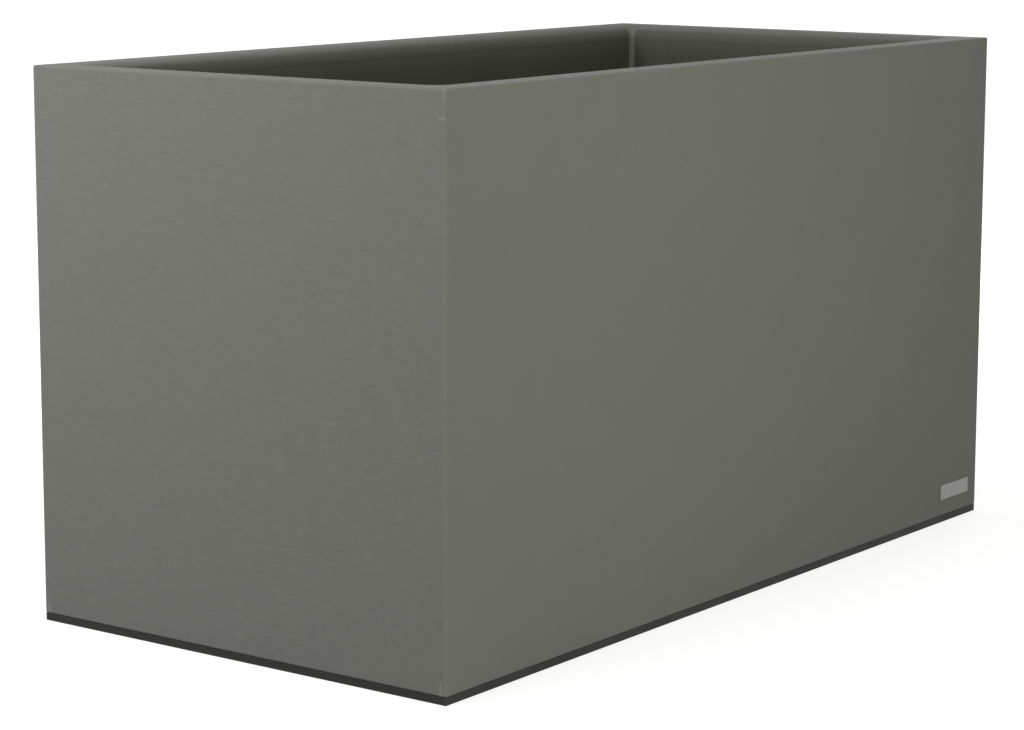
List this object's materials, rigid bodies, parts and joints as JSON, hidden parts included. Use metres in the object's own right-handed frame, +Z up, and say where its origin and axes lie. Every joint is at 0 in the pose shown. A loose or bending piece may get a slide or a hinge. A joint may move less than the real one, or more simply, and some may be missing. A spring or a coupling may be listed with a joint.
{
  "type": "balcony planter",
  "caption": "Rectangular free-standing planter with insulated double walls, folded rim, dark inner tub, plugged floor drains and a low dark plinth.",
  "frame": {"origin": "on the ground, under the middle of the planter", "axes": "+X along the length, to the right seen from the front; +Y from the front, which has the plate, to the back; +Z up"},
  "size_m": [0.8, 0.4006, 0.437],
  "materials": {
    "painted_skin": "satin",
    "tub_black": "satin",
    "insulation": "matte",
    "angle_metal": "satin",
    "film_faced_board": "satin",
    "batten_plastic": "matte",
    "plinth_black": "matte",
    "screw_steel": "satin",
    "fitting_plastic": "satin",
    "seal_rubber": "matte",
    "plug_rubber": "matte",
    "plate_metal": "satin"
  },
  "bodies": {
    "planter": {"back_panel": "painted_skin", "base_board": "film_faced_board", "base_screws": "screw_steel", "batten_back": "batten_plastic", "batten_centre": "batten_plastic", "batten_front": "batten_plastic", "batten_left": "batten_plastic", "batten_right": "batten_plastic", "corner_angle_back_left": "angle_metal", "corner_angle_back_right": "angle_metal", "corner_angle_front_left": "angle_metal", "corner_angle_front_right": "angle_metal", "drain_gasket_left": "seal_rubber", "drain_gasket_right": "seal_rubber", "drain_nut_left": "fitting_plastic", "drain_nut_right": "fitting_plastic", "drain_sleeve_left": "fitting_plastic", "drain_sleeve_right": "fitting_plastic", "foam_back": "insulation", "foam_floor": "insulation", "foam_front": "insulation", "foam_left": "insulation", "foam_right": "insulation", "front_panel": "painted_skin", "inner_tub": "tub_black", "left_panel": "painted_skin", "name_plate": "plate_metal", "plinth_back_left": "plinth_black", "plinth_back_right": "plinth_black", "plinth_centre": "plinth_black", "plinth_front": "plinth_black", "plinth_left": "plinth_black", "plinth_right": "plinth_black", "right_panel": "painted_skin"},
    "plug_left": {"drain_plug_left": "plug_rubber"},
    "plug_right": {"drain_plug_right": "plug_rubber"}
  },
  "joints": [
    {"name": "drain_plug_left_lift", "type": "slide", "parent": "planter", "child": "plug_left", "axis": [0, 0, 1], "range_m": [0, 0.45]},
    {"name": "drain_plug_right_lift", "type": "slide", "parent": "planter", "child": "plug_right", "axis": [0, 0, 1], "range_m": [0, 0.45]}
  ]
}
